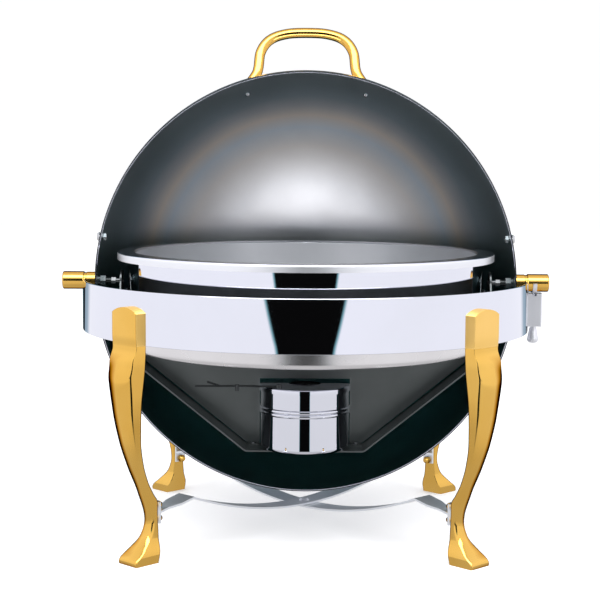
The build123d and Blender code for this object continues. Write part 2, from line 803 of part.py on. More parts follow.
# Spring between the knob's screw and the shoe's collar
screw_top = brake_bottom + 9
spring_wire = 0.5
with BuildPart() as brake_spring:
    with BuildLine() as coil:
        Helix(
            pitch=1.9,
            height=stem_bottom - screw_top - 2 * spring_wire - 0.2,
            radius=3.0,
            center=(brake_x, 0, screw_top + spring_wire + 0.1),
        )
    with BuildSketch(Plane(origin=coil.line @ 0, z_dir=coil.line % 0)):
        Circle(spring_wire)
    sweep(path=coil.line, is_frenet=True)
brake_spring.part.label = "brake_spring"
export_step(brake_spring.part, "parts/brake_spring.step")

# Knob: a flared, knurled thumb screw whose plate carries the spring
knob_top = brake_bottom - 1.6
with BuildPart() as brake_knob:
    with BuildSketch(Plane.XZ):
        with BuildLine():
            Polyline(
                (brake_x, screw_top),
                (brake_x + 3.9, screw_top),
                (brake_x + 3.9, screw_top - 2),
                (brake_x + 2.6, screw_top - 2),
                (brake_x + 2.6, knob_top),
                (brake_x + 3.6, knob_top),
                (brake_x + 3.9, knob_top - 2.5),
                (brake_x + 5.7, knob_top - 11.5),
                (brake_x + 5.2, knob_top - 13.6),
                (brake_x + 3.6, knob_top - 15.2),
                (brake_x, knob_top - 15.2),
                close=True,
            )
        make_face()
    revolve(axis=Axis((brake_x, 0, 0), (0, 0, 1)))
    with BuildSketch(Plane.XY.offset(knob_top - 12.5)):
        with Locations((brake_x, 0)):
            with PolarLocations(5.9, 16):
                Circle(0.45)
    extrude(amount=9, mode=Mode.SUBTRACT)
brake_knob.part.label = "brake_knob"
export_step(brake_knob.part, "parts/brake_knob.step")

# Screws that hold the brake housing, from inside the band
with BuildPart() as brake_screws:
    for y in (-brake_screw_spread, brake_screw_spread):
        with BuildSketch(side_plane(1, 219.7, brake_screw_height, y)):
            Circle(3)
        extrude(amount=2.1)
        with BuildSketch(side_plane(1, 221.8, brake_screw_height, y)):
            Circle(brake_screw_radius)
        extrude(amount=9.5)
brake_screws.part.label = "brake_screws"
export_step(brake_screws.part, "parts/brake_screws.step")
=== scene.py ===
import json
import math

import bmesh
import bpy
from mathutils import Matrix, Vector


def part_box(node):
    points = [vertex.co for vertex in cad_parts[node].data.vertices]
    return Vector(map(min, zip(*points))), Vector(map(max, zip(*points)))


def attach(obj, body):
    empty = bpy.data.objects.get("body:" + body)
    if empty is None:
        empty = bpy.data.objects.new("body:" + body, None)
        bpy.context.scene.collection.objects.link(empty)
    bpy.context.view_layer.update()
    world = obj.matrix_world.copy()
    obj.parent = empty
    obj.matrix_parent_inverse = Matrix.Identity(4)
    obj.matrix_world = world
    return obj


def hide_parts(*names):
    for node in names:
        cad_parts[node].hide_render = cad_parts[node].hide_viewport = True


# Looks of the roll-top chafing dish. Metres, +Z up, front at -Y. Outlines are given in millimetres.
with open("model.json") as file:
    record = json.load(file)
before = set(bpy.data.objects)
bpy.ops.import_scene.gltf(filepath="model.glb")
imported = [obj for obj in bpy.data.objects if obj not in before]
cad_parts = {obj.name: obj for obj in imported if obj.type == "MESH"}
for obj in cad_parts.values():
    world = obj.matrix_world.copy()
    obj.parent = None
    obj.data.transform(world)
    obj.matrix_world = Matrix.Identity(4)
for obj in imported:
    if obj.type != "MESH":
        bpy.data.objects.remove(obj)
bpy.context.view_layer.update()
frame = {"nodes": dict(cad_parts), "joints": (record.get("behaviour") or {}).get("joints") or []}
MM = 0.001
scene = bpy.context.scene


def span(node, axis):
    """Lowest and highest coordinate of a CAD node along axis 0, 1 or 2, in millimetres."""
    low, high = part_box(node)
    return low[axis] / MM, high[axis] / MM


# Places that the frame gives, in millimetres
lid_joint = next(j for j in frame["joints"] if j["name"] == "lid_hinge")
AXIS_HEIGHT = lid_joint["pos_m"][2] / MM
RING_RADIUS = span("support_ring", 0)[1]
RING_LOW, RING_HIGH = span("support_ring", 2)
LID_RADIUS = span("lid_shell", 2)[1] - AXIS_HEIGHT
FLANGE_RADIUS = span("food_pan", 0)[1]
FLANGE_TOP = span("food_pan", 2)[1]
CUP_LOW, CUP_TOP = span("burner_cup", 2)
PIN_START, PIN_END = span("pivot_pin_right", 0)
LEG_LOW, LEG_HIGH = span("leg_front_left", 2)

# Sheet thicknesses and bead, in millimetres
RING_WALL = 2.0
LID_WALL = 1.6
HOOP_SHEET = 1.6
SHEET = 1.2
BEAD_RADIUS = 0.95


# ---------------------------------------------------------------- outlines and meshes
ON_AXIS = 1e-6  # millimetres from the axis
WELD = 1e-7  # metres between points that become one


def rounded(corners, closed=False, steps=6):
    """Points of an outline whose corners (x, y, radius) are rounded."""
    points = []
    count = len(corners)
    for i, (x, y, radius) in enumerate(corners):
        here = Vector((x, y))
        end = not closed and i in (0, count - 1)
        if end or radius == 0:
            points.append(here)
            continue
        before = (Vector(corners[i - 1][:2]) - here).normalized()
        after = (Vector(corners[(i + 1) % count][:2]) - here).normalized()
        half = before.angle(after) / 2
        centre = here + (before + after).normalized() * (radius / math.sin(half))
        start = here + before * (radius / math.tan(half)) - centre
        turn = math.pi - 2 * half
        if before.x * after.y - before.y * after.x > 0:
            turn = -turn
        for k in range(steps + 1):
            angle = turn * k / steps
            c, s = math.cos(angle), math.sin(angle)
            points.append(centre + Vector((start.x * c - start.y * s, start.x * s + start.y * c)))
    return points


def sheet(path, thickness):
    """Closed outline of a sheet of even thickness along an open path."""
    left, right = [], []
    for i, point in enumerate(path):
        before = path[max(i - 1, 0)]
        after = path[min(i + 1, len(path) - 1)]
        along = (after - before).normalized()
        aside = Vector((-along.y, along.x)) * (thickness / 2)
        left.append(point + aside)
        right.append(point - aside)
    return left + right[::-1]


def finish_mesh(node, mesh, body, materials, sharp_degrees):
    """Makes the object that stands for a CAD node and rides on a body, smooth except at sharp corners."""
    mesh.shade_smooth()
    mesh.set_sharp_from_angle(angle=math.radians(sharp_degrees))
    obj = bpy.data.objects.new(node + "_skin", mesh)
    scene.collection.objects.link(obj)
    weighted = obj.modifiers.new("even_normals", "WEIGHTED_NORMAL")
    weighted.keep_sharp = True
    for material in materials:
        mesh.materials.append(material)
    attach(obj, body)
    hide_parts(node)
    return obj


def closed_mesh(name, bm):
    """Turns the faces outwards and gives the mesh of a bmesh, which is freed."""
    bmesh.ops.recalc_face_normals(bm, faces=bm.faces)
    mesh = bpy.data.meshes.new(name)
    bm.to_mesh(mesh)
    bm.free()
    return mesh


def lathe(node, outline, body, materials, axis="Z", centre=(0, 0, 0), turns=256, sharp=35):
    """Revolves a closed outline of (radius, along) points round an axis through centre."""
    bm = bmesh.new()
    rings = []
    for point in outline:
        ring = []
        for k in range(turns):
            angle = 2 * math.pi * k / turns
            a, b = point[0] * math.cos(angle), point[0] * math.sin(angle)
            place = {"Z": (a, b, point[1]), "Y": (a, point[1], b), "X": (point[1], a, b)}[axis]
            ring.append(bm.verts.new((Vector(place) + Vector(centre)) * MM))
        rings.append(ring)
    for i in range(len(outline)):
        j = (i + 1) % len(outline)
        if outline[i][0] < ON_AXIS and outline[j][0] < ON_AXIS:
            continue
        for k in range(turns):
            n = (k + 1) % turns
            bm.faces.new((rings[i][k], rings[i][n], rings[j][n], rings[j][k]))
    bmesh.ops.remove_doubles(bm, verts=bm.verts, dist=WELD)
    return finish_mesh(node, closed_mesh(node, bm), body, materials, sharp)


def monotone(points):
    """A smooth function through (x, y) points that doesn't overshoot between them."""
    xs = [p[0] for p in points]
    ys = [p[1] for p in points]
    slopes = [(ys[i + 1] - ys[i]) / (xs[i + 1] - xs[i]) for i in range(len(xs) - 1)]
    tangents = [slopes[0]]
    for before, after in zip(slopes, slopes[1:]):
        tangents.append(0 if before * after <= 0 else 2 * before * after / (before + after))
    tangents.append(slopes[-1])

    def value(x):
        x = min(max(x, xs[0]), xs[-1])
        i = max(k for k in range(len(xs) - 1) if xs[k] <= x)
        width = xs[i + 1] - xs[i]
        t = (x - xs[i]) / width
        return (
            (2 * t**3 - 3 * t**2 + 1) * ys[i]
            + (t**3 - 2 * t**2 + t) * width * tangents[i]
            + (3 * t**2 - 2 * t**3) * ys[i + 1]
            + (t**3 - t**2) * width * tangents[i + 1]
        )

    return value


def skin_rings(name, rings):
    """A capped mesh over a stack of rings that hold the same number of points."""
    bm = bmesh.new()
    verts = [[bm.verts.new(p * MM) for p in ring] for ring in rings]
    count = len(rings[0])
    for low, high in zip(verts, verts[1:]):
        for k in range(count):
            n = (k + 1) % count
            bm.faces.new((low[k], low[n], high[n], high[k]))
    bm.faces.new(verts[0])
    bm.faces.new(verts[-1])
    return closed_mesh(name, bm)


# ---------------------------------------------------------------- materials
def add_node(tree, kind, inputs=None, **settings):
    """Adds a shader node; inputs maps its sockets to values, colours or other nodes' outputs."""
    node = tree.nodes.new("ShaderNode" + kind)
    for setting, value in settings.items():
        setattr(node, setting, value)
    for key, value in (inputs or {}).items():
        socket = node.inputs[key]
        if isinstance(value, bpy.types.NodeSocket):
            tree.links.new(value, socket)
        else:
            socket.default_value = (*value, 1) if socket.type == "RGBA" else value
    return node


def math_node(tree, operation, *values):
    return add_node(tree, "Math", dict(enumerate(values)), operation=operation).outputs[0]


def ramp_node(tree, value, stops):
    """Colour ramp over 0 to 1 with (place, colour) stops; a plain number is a grey."""
    node = add_node(tree, "ValToRGB", {0: value})
    elements = node.color_ramp.elements
    while len(elements) < len(stops):
        elements.new(0.5)
    for element, (place, colour) in zip(elements, stops):
        element.position = place
        element.color = (*([colour] * 3 if isinstance(colour, (int, float)) else colour), 1)
    return node.outputs[0]


def blended(tree, kind, factor, a, b):
    """Colours a and b mixed or multiplied, as kind says."""
    inputs = {"Factor": factor, "A": a, "B": b}
    return add_node(tree, "Mix", inputs, data_type="RGBA", blend_type=kind).outputs["Result"]


def node_tree(name):
    material = bpy.data.materials.new(name)
    material.use_nodes = True
    tree = material.node_tree
    return material, tree, tree.nodes["Principled BSDF"]


def noise_between(tree, scale, detail, low, high):
    """Noise in object space, in features per metre, whose middle values are spread from low to high."""
    coords = add_node(tree, "TexCoord")
    inputs = {"Vector": coords.outputs["Object"], "Scale": scale, "Detail": detail}
    value = add_node(tree, "TexNoise", inputs).outputs["Fac"]
    inputs = {"Value": value, "From Min": 0.3, "From Max": 0.7, "To Min": low, "To Max": high}
    return add_node(tree, "MapRange", inputs).outputs["Result"]


def metal(name, dark, light, roughness, anisotropy=0.0, axis="Z"):
    """A metal with cloudy tint and roughness, brushed round an axis if it is anisotropic."""
    material, tree, shader = node_tree(name)
    shader.inputs["Metallic"].default_value = 1.0
    cloud = noise_between(tree, 14, 4, 0, 1)
    tree.links.new(blended(tree, "MIX", cloud, dark, light), shader.inputs["Base Color"])
    tree.links.new(noise_between(tree, 22, 2, *roughness), shader.inputs["Roughness"])
    if anisotropy:
        shader.inputs["Anisotropic"].default_value = anisotropy
        tangent = add_node(tree, "Tangent", direction_type="RADIAL", axis=axis)
        tree.links.new(tangent.outputs["Tangent"], shader.inputs["Tangent"])
    return material


def add_grain(material, scale, depth):
    """Gives a metal a fine grain, with scale in features per metre and depth in metres."""
    tree = material.node_tree
    coords = add_node(tree, "TexCoord")
    inputs = {"Vector": coords.outputs["Object"], "Scale": scale, "Detail": 2}
    grain = add_node(tree, "TexNoise", inputs).outputs["Fac"]
    bump = add_node(tree, "Bump", {"Strength": 0.25, "Distance": depth, "Height": grain})
    tree.links.new(bump.outputs["Normal"], tree.nodes["Principled BSDF"].inputs["Normal"])


def multiply_colour(material, factor):
    tree = material.node_tree
    base = tree.nodes["Principled BSDF"].inputs["Base Color"]
    tree.links.new(blended(tree, "MULTIPLY", 1.0, base.links[0].from_socket, factor), base)


def paint_shade_at_edges(material, stops):
    """Paints shade on a metal: multiplies its colour by a ramp over how far the surface turns away from the
    eye.
    """
    tree = material.node_tree
    facing = add_node(tree, "LayerWeight", {"Blend": 0.5}).outputs["Facing"]
    ramp = ramp_node(tree, facing, stops)
    multiply_colour(material, ramp)
    tree.links.new(ramp, tree.nodes["Principled BSDF"].inputs["Specular Tint"])


def paint_light_by_place(material, axis, start, end, stops):
    """Paints light and shade: multiplies a metal's colour by a ramp over its object coordinate from start to
    end (mm).
    """
    tree = material.node_tree
    coords = add_node(tree, "TexCoord")
    parts = add_node(tree, "SeparateXYZ", {0: coords.outputs["Object"]})
    inputs = {"Value": parts.outputs[axis], "From Min": start * MM, "From Max": end * MM}
    share = add_node(tree, "MapRange", inputs).outputs[0]
    spots = [((place - start) / (end - start), colour) for place, colour in stops]
    multiply_colour(material, ramp_node(tree, share, spots))


# Name, darkest and lightest tint, least and greatest roughness
mirror = metal("mirror_steel", (0.76, 0.77, 0.83), (0.79, 0.80, 0.87), (0.015, 0.03))
ring_inside = metal("ring_inside", (0.09, 0.10, 0.10), (0.13, 0.14, 0.14), (0.42, 0.50), anisotropy=0.3)
gold = metal("gold_plate", (0.81, 0.46, 0.085), (0.88, 0.54, 0.13), (0.08, 0.14))
# rougher copy of the gold for the legs' block sides, with a lighter tint that is painted light
gold_block_painted_light = metal("gold_block_painted_light", (0.92, 0.60, 0.16), (0.98, 0.66, 0.22), (0.48, 0.54))
lid_inside = metal(
    "lid_satin_inside", (0.62, 0.61, 0.60), (0.68, 0.67, 0.66), (0.38, 0.44), anisotropy=0.3, axis="Y"
)
# near-black for the outside of the lid's hem: a painted dark reflection where the dome curves away
rim_shade = metal("lid_rim_painted_shade", (0.03, 0.035, 0.04), (0.05, 0.055, 0.06), (0.2, 0.3))
# dark navy for the pan's ledge: a painted dark reflection
ledge_painted_shade = metal("pan_ledge_painted_shade", (0.10, 0.115, 0.14), (0.14, 0.155, 0.18), (0.10, 0.16))
lip_bright = metal("pan_lip", (0.86, 0.87, 0.90), (0.90, 0.91, 0.94), (0.36, 0.42))
pan_satin = metal("pan_satin_inside", (0.55, 0.56, 0.58), (0.62, 0.63, 0.65), (0.42, 0.50), anisotropy=0.3)
strap_steel = metal("strap_steel", (0.82, 0.85, 0.88), (0.88, 0.90, 0.93), (0.40, 0.48))
satin = metal("satin_steel", (0.80, 0.78, 0.78), (0.86, 0.84, 0.84), (0.24, 0.30), anisotropy=0.3)
light_satin = metal("brake_satin", (0.80, 0.81, 0.84), (0.86, 0.87, 0.90), (0.30, 0.38))
cradle_satin = metal("cradle_satin", (0.15, 0.165, 0.165), (0.20, 0.215, 0.215), (0.30, 0.38))
plate_satin = metal("shield_satin", (0.17, 0.185, 0.18), (0.22, 0.235, 0.23), (0.36, 0.44))
dark_steel = metal("dark_fastener", (0.13, 0.135, 0.14), (0.18, 0.185, 0.19), (0.22, 0.34))
fastener = metal("fastener_steel", (0.50, 0.51, 0.52), (0.62, 0.62, 0.63), (0.18, 0.30))
dark_wire = metal("lever_steel", (0.06, 0.065, 0.065), (0.09, 0.095, 0.095), (0.25, 0.36))
tin = metal("tin_plate", (0.55, 0.55, 0.54), (0.64, 0.64, 0.62), (0.25, 0.40))

add_grain(gold, 350, 0.00002)
# painted shade: the gold darkens to brown at the edges that turn away from the eye
paint_shade_at_edges(gold, [(0.40, 1.0), (0.50, (0.72, 0.58, 0.42)), (0.64, (0.10, 0.055, 0.03))])
# Painted light on the lid's inside: painted dark reflections in slate at the rim, a brownish ring, a painted
# highlight that goes to bright, and painted shade in dark green low down.
paint_light_by_place(
    lid_inside, "Y", -30, 200,
    [
        (-29, (0.46, 0.57, 0.61)), (60, (0.48, 0.59, 0.64)), (90, (0.56, 0.66, 0.72)),
        (108, (0.80, 0.82, 0.83)), (123, (1.15, 1.04, 0.93)), (139, (0.96, 1.05, 1.12)),
        (159, (1.16, 1.11, 1.07)), (185, (1.22, 1.22, 1.25)),
    ],
)
# painted shade: the lower part of the lid's inside is tinted dark green
paint_light_by_place(
    lid_inside, "Z", 0, 500,
    [(190, (0.32, 0.62, 0.60)), (235, (0.38, 0.58, 0.57)), (270, (0.58, 0.68, 0.67)), (298, 1.0)],
)

# ---------------------------------------------------------------- support ring
RING_CORNER = 0.5
ring_back = RING_RADIUS - RING_WALL
ring_outline = rounded(
    [
        (RING_RADIUS, RING_LOW, RING_CORNER), (RING_RADIUS, RING_HIGH, BEAD_RADIUS),
        (ring_back, RING_HIGH, BEAD_RADIUS), (ring_back, RING_LOW, RING_CORNER),
    ],
    closed=True,
)
ring = lathe("support_ring", ring_outline, "stand", [mirror, ring_inside], turns=384)
for polygon in ring.data.polygons:
    polygon.material_index = 1 if polygon.center.xy.length / MM < ring_back + 0.02 else 0

# ---------------------------------------------------------------- lid
RIM_FORWARD = 29.0  # the lid reaches this far in front of its axis
HEM_WIDTH = 11
DOME_STEPS = 96
BEAD_STEPS = 12


def lid_outline():
    """(radius, depth) of the dome outside, back inside, and round the bead at the rim."""
    points = []
    up = range(DOME_STEPS + 1)
    for radius, order in ((LID_RADIUS, up), (LID_RADIUS - LID_WALL, up[::-1])):
        start = math.asin(-RIM_FORWARD / radius)
        for k in order:
            angle = start + (math.pi / 2 - start) * k / DOME_STEPS
            points.append((radius * math.cos(angle), radius * math.sin(angle)))
    middle = (points[0][0] + points[-1][0]) / 2
    for k in range(1, BEAD_STEPS):
        angle = math.radians(150 + 240 * k / BEAD_STEPS)
        points.append((middle + BEAD_RADIUS * math.cos(angle), -RIM_FORWARD + BEAD_RADIUS * math.sin(angle)))
    return points


lid_skins = [mirror, lid_inside, rim_shade]
lid = lathe("lid_shell", lid_outline(), "lid", lid_skins, "Y", (0, 0, AXIS_HEIGHT), 384, sharp=60)
for polygon in lid.data.polygons:
    centre = polygon.center / MM - Vector((0, 0, AXIS_HEIGHT))
    inside = centre.length < LID_RADIUS - LID_WALL / 2 and centre.y > -RIM_FORWARD + BEAD_RADIUS
    outwards = Vector((centre.x, 0, centre.z)).normalized().dot(polygon.normal)
    # the lid's outer faces within HEM_WIDTH of the rim get the near-black: painted dark reflection
    hem = centre.y < -RIM_FORWARD + HEM_WIDTH and outwards > 0.1
    polygon.material_index = 1 if inside else 2 if hem else 0

# ---------------------------------------------------------------- pans and hoop
# Corners are (radius, height, rounding); heights are those of the middle of the sheet.
FOOD_MOUTH = 172
LIP_DROP = 7
food_floor = span("food_pan", 2)[0] + SHEET / 2
food_rim = FLANGE_TOP - SHEET / 2
lip_radius = FLANGE_RADIUS - SHEET / 2
food_path = rounded(
    [
        (lip_radius, food_rim - LIP_DROP, 0), (lip_radius, food_rim, 2), (FOOD_MOUTH, food_rim, 2.5),
        (166.5, food_floor, 12), (0, food_floor, 0),
    ],
    steps=10,
)
food_skins = [mirror, pan_satin, lip_bright, ledge_painted_shade]
food_pan = lathe("food_pan", sheet(food_path, SHEET), "food_pan", food_skins, turns=320, sharp=50)
for polygon in food_pan.data.polygons:
    centre, normal = polygon.center, polygon.normal
    radius, height = centre.xy.length / MM, centre.z / MM
    facing_in = Vector((centre.x, centre.y, 0)).dot(normal) < 0.001
    well = radius < FOOD_MOUTH + 0.5 and height < food_rim - SHEET and facing_in and normal.z > -0.3
    # the ledge between the mouth and the lip gets the dark navy: painted dark reflection
    ledge = FOOD_MOUTH + 1.5 < radius < lip_radius - 1 and normal.z > 0.6
    lip = radius > lip_radius and height < food_rim
    polygon.material_index = 1 if well else 3 if ledge else 2 if lip else 0

water_floor = span("water_pan", 2)[0] + SHEET / 2
water_flange = span("water_pan", 2)[1] - SHEET / 2
water_path = rounded(
    [
        (185.8, water_flange, 0), (178, water_flange, 4), (177.8, AXIS_HEIGHT - 5, 4),
        (173.4, water_floor, 4), (0, water_floor, 0),
    ],
    steps=8,
)
lathe("water_pan", sheet(water_path, SHEET), "water_pan", [mirror], turns=320, sharp=50)

hoop_low = span("pan_hoop", 2)[0] + HOOP_SHEET / 2
hoop_path = rounded([(181.2, AXIS_HEIGHT - 8, 0), (176.2, hoop_low, 6), (160, hoop_low, 0)], steps=10)
lathe("pan_hoop", sheet(hoop_path, HOOP_SHEET), "pan_frame", [satin], turns=320, sharp=50)

# ---------------------------------------------------------------- burner
CUP_RADIUS = 45
COVER_RADIUS = 45.8
COVER_OPENING = 16
CUP_BEAD_TOPS = (123.6, 120.0)
CUP_BEAD_HEIGHT = 3.4
CUP_BEAD_DEPTH = 1.3
cup_wall = CUP_RADIUS - SHEET / 2
cup_floor = CUP_LOW + SHEET / 2
cup_path = [Vector((cup_wall, CUP_TOP))]
for bead_top in CUP_BEAD_TOPS:
    for k in range(9):
        angle = math.pi * k / 8
        bulge = cup_wall + CUP_BEAD_DEPTH * math.sin(angle)
        cup_path.append(Vector((bulge, bead_top - CUP_BEAD_HEIGHT * (1 - math.cos(angle)) / 2)))
cup_path += rounded([(cup_wall, 115, 0), (cup_wall, cup_floor, 3), (0, cup_floor, 0)])
lathe("burner_cup", sheet(cup_path, SHEET), "pan_frame", [mirror], turns=192, sharp=50)

cover_low, cover_high = span("burner_cover", 2)
cover_top = cover_high - SHEET / 2
cover_path = rounded(
    [(COVER_RADIUS, cover_low, 0), (COVER_RADIUS, cover_top, 1.4), (COVER_OPENING, cover_top, 0)]
)
lathe("burner_cover", sheet(cover_path, SHEET), "burner_cover", [mirror], turns=192, sharp=50)

# ---------------------------------------------------------------- legs
LEG_ANGLE = 45.7
ARCH_POWER = 1.15
ARCH_LEAST = 0.0016  # keeps the topmost ring from shrinking to a line
BLOCK_SIDE_TOP = 234.6  # above this height the block's sides follow the arch
# Over the height: distance of the front and of the back from the dish's axis, half of the width,
# radius of the corners, and how far the front's sides fall back from its middle.
leg_outer = monotone(
    [(0, 233), (3, 234), (13, 224.5), (26, 213), (38, 209.8), (66, 218), (92, 229.5), (116, 238), (145, 244),
     (172, 246.3), (190, 241.8), (203, 235.4), (214, 236.2), (240, 236.2)]
)
leg_inner = monotone(
    [(0, 206), (17, 201), (32, 200), (55, 200), (64, 205.5), (76, 212.5), (95, 219.5), (116, 223.5),
     (150, 225), (186, 224.1), (240, 224.1)]
)
leg_half = monotone(
    [(0, 13), (6, 13), (22, 8.2), (46, 6.5), (90, 9.3), (118, 11.8), (144, 14.2), (168, 16.2), (190, 17.2),
     (240, 17.2)]
)
leg_corner = monotone(
    [(0, 1.2), (8, 2.2), (30, 3.6), (60, 3.6), (150, 4.5), (190, 2.0), (206, 0.8), (240, 0.8)]
)
leg_crown = monotone([(0, 0), (12, 1.2), (60, 2.2), (120, 4.2), (160, 5.0), (182, 3.6), (200, 0), (240, 0)])


def leg_ring(height, angle):
    """Rounded section of a leg with a crowned front; near the top its sides follow the arch."""
    low, high, half = leg_inner(height), leg_outer(height), leg_half(height)
    if height > BLOCK_SIDE_TOP:
        rise = (height - BLOCK_SIDE_TOP) / (LEG_HIGH - BLOCK_SIDE_TOP)
        half *= math.sqrt(max(1 - rise**ARCH_POWER, ARCH_LEAST))
    radius = min(leg_corner(height), half * 0.9, (high - low) * 0.45)
    corners = [(high, -half, radius)]
    corners += [(high, half * k / 6, 0) for k in range(-4, 5)]
    corners += [(high, half, radius), (low, half, radius), (low, -half, radius)]
    turn = Matrix.Rotation(math.radians(angle), 3, "Z")
    ring = []
    for p in rounded(corners, closed=True, steps=5):
        front = max((p.x - low) / (high - low), 0) ** 2
        ring.append(turn @ Vector((p.x - leg_crown(height) * front * (p.y / half) ** 2, p.y, height)))
    return ring


def leg_heights():
    """Even steps up to the arch, then steps that grow finer towards its top."""
    arch = LEG_HIGH - 0.02 - BLOCK_SIDE_TOP
    heights = [LEG_LOW, LEG_LOW + 0.8]
    heights += [LEG_LOW + 2 + (BLOCK_SIDE_TOP - 2) * k / 110 for k in range(111)]
    heights += [BLOCK_SIDE_TOP + arch * (1 - (1 - k / 14) ** 2) for k in range(1, 15)]
    return heights


for name, angle in (
    ("leg_front_left", 180 + LEG_ANGLE),
    ("leg_front_right", -LEG_ANGLE),
    ("leg_rear_left", 180 - LEG_ANGLE),
    ("leg_rear_right", LEG_ANGLE),
):
    mesh = skin_rings(name, [leg_ring(height, angle) for height in leg_heights()])
    leg = finish_mesh(name, mesh, "stand", [gold, gold_block_painted_light], 40)
    leg.visible_glossy = False  # their images would make the legs look wider than they are
    outwards = Vector((math.cos(math.radians(angle)), math.sin(math.radians(angle)), 0))
    for polygon in leg.data.polygons:
        # the block's faces above the ring that don't face outwards get the lighter gold: painted light
        block = polygon.center.z / MM > RING_LOW and polygon.normal.dot(outwards) < 0.5
        polygon.material_index = 1 if block else 0


# ---------------------------------------------------------------- pivot pins
TIP_RADIUS = 1.9
SHAFT_RADIUS = 3.2
COLLAR_RADIUS = 8.5
GROOVE_RADIUS = 7.95
HEAD_RADIUS = 9
TIP_END = 197
COLLAR_END = 221.6
GROOVE_START, GROOVE_END = 221.9, 224.2
HEAD_START = 224.7


def pin_outline():
    """(radius, distance from the middle) of the whole pin, with the groove that sits in the ring."""
    return rounded(
        [
            (0, PIN_START, 0), (TIP_RADIUS, PIN_START, 0.4), (TIP_RADIUS, TIP_END, 0),
            (SHAFT_RADIUS, TIP_END, 0), (SHAFT_RADIUS, LID_RADIUS, 0),
            (COLLAR_RADIUS, LID_RADIUS, 0.4), (COLLAR_RADIUS, COLLAR_END, 0.3),
            (GROOVE_RADIUS, GROOVE_START, 0), (GROOVE_RADIUS, GROOVE_END, 0),
            (HEAD_RADIUS, HEAD_START, 0.4), (HEAD_RADIUS, PIN_END, 1.4), (0, PIN_END, 0),
        ],
        steps=5,
    )


for name, side in (("pivot_pin_left", -1), ("pivot_pin_right", 1)):
    outline = [(p.x, side * p.y) for p in pin_outline()]
    pin = lathe(name, outline, "lid", [gold, dark_wire], "X", (0, 0, AXIS_HEIGHT), 64, sharp=40)
    for polygon in pin.data.polygons:
        polygon.material_index = 1 if abs(polygon.center.x) / MM < LID_RADIUS - 0.5 else 0


# ---------------------------------------------------------------- lid handle
HANDLE_LEAN = math.radians(19)
HANDLE_RADIUS = 5.3
HANDLE_FOOT = 62.0  # from the middle to a foot
HANDLE_TURNS = 32


def flowing(points, steps):
    """Points along a smooth curve through the given points, whose ends run towards the origin."""
    lead = [
        after - 2 * (after - end).length * end.normalized()
        for end, after in ((points[0], points[1]), (points[-1], points[-2]))
    ]
    ends = [lead[0], *points, lead[1]]
    path = []
    for a, b, c, d in zip(ends, ends[1:], ends[2:], ends[3:]):
        for k in range(steps):
            t = k / steps
            path.append(
                0.5 * (2 * b + (c - a) * t + (2 * a - 5 * b + 4 * c - d) * t**2
                       + (3 * b - a - 3 * c + d) * t**3)
            )
    return [*path, points[-1]]


foot_reach = math.sqrt(LID_RADIUS**2 - HANDLE_FOOT**2)
handle_side = [Vector((HANDLE_FOOT, foot_reach)) * 0.998]  # just under the lid's outside
handle_side += [Vector(p) for p in ((51.8, 226.5), (48.6, 248.5), (39, 262.2), (22, 268.9))]
handle_points = [Vector((-p.x, p.y)) for p in handle_side] + [Vector((0, 270.4))] + handle_side[::-1]
handle_up = Vector((0, math.sin(HANDLE_LEAN), math.cos(HANDLE_LEAN)))
handle_face = Vector((0, -math.cos(HANDLE_LEAN), math.sin(HANDLE_LEAN)))
handle_line = [Vector((p.x, 0, AXIS_HEIGHT)) + handle_up * p.y for p in flowing(handle_points, 10)]
handle_rings = []
for i, point in enumerate(handle_line):
    along = (handle_line[min(i + 1, len(handle_line) - 1)] - handle_line[max(i - 1, 0)]).normalized()
    aside = handle_face.cross(along)
    turns = [2 * math.pi * k / HANDLE_TURNS for k in range(HANDLE_TURNS)]
    handle_rings.append(
        [point + (aside * math.cos(a) + handle_face * math.sin(a)) * HANDLE_RADIUS for a in turns]
    )
finish_mesh("lid_handle", skin_rings("lid_handle", handle_rings), "lid", [gold], 50)

# ---------------------------------------------------------------- CAD pieces that keep their own shape
keeps = {
    "brace_nuts": gold, "brace_upper": strap_steel, "brace_lower": strap_steel, "brace_rivet": strap_steel,
    "burner_cradle": cradle_satin, "shield_plate": plate_satin, "burner_lever": dark_wire,
    "lever_rivet": dark_wire, "fuel_can": tin, "brake_housing": light_satin, "brake_shoe": light_satin,
    "brake_knob": light_satin, "brake_spring": fastener, "brake_screws": fastener, "leg_screws": fastener,
    "handle_screws": fastener, "lid_side_screws": fastener, "shield_rivets": fastener, "cup_screw": fastener,
    "hoop_rivets": dark_steel, "pivot_nuts": dark_steel, "ear_nuts": dark_steel,
}
for node, material in keeps.items():
    obj = frame["nodes"][node]
    obj.data.materials.clear()
    obj.data.materials.append(material)


# ---------------------------------------------------------------- studio
GAP_EDGE = 2.4  # degrees over which the dark gap fades
WHITE = (1, 1, 1)


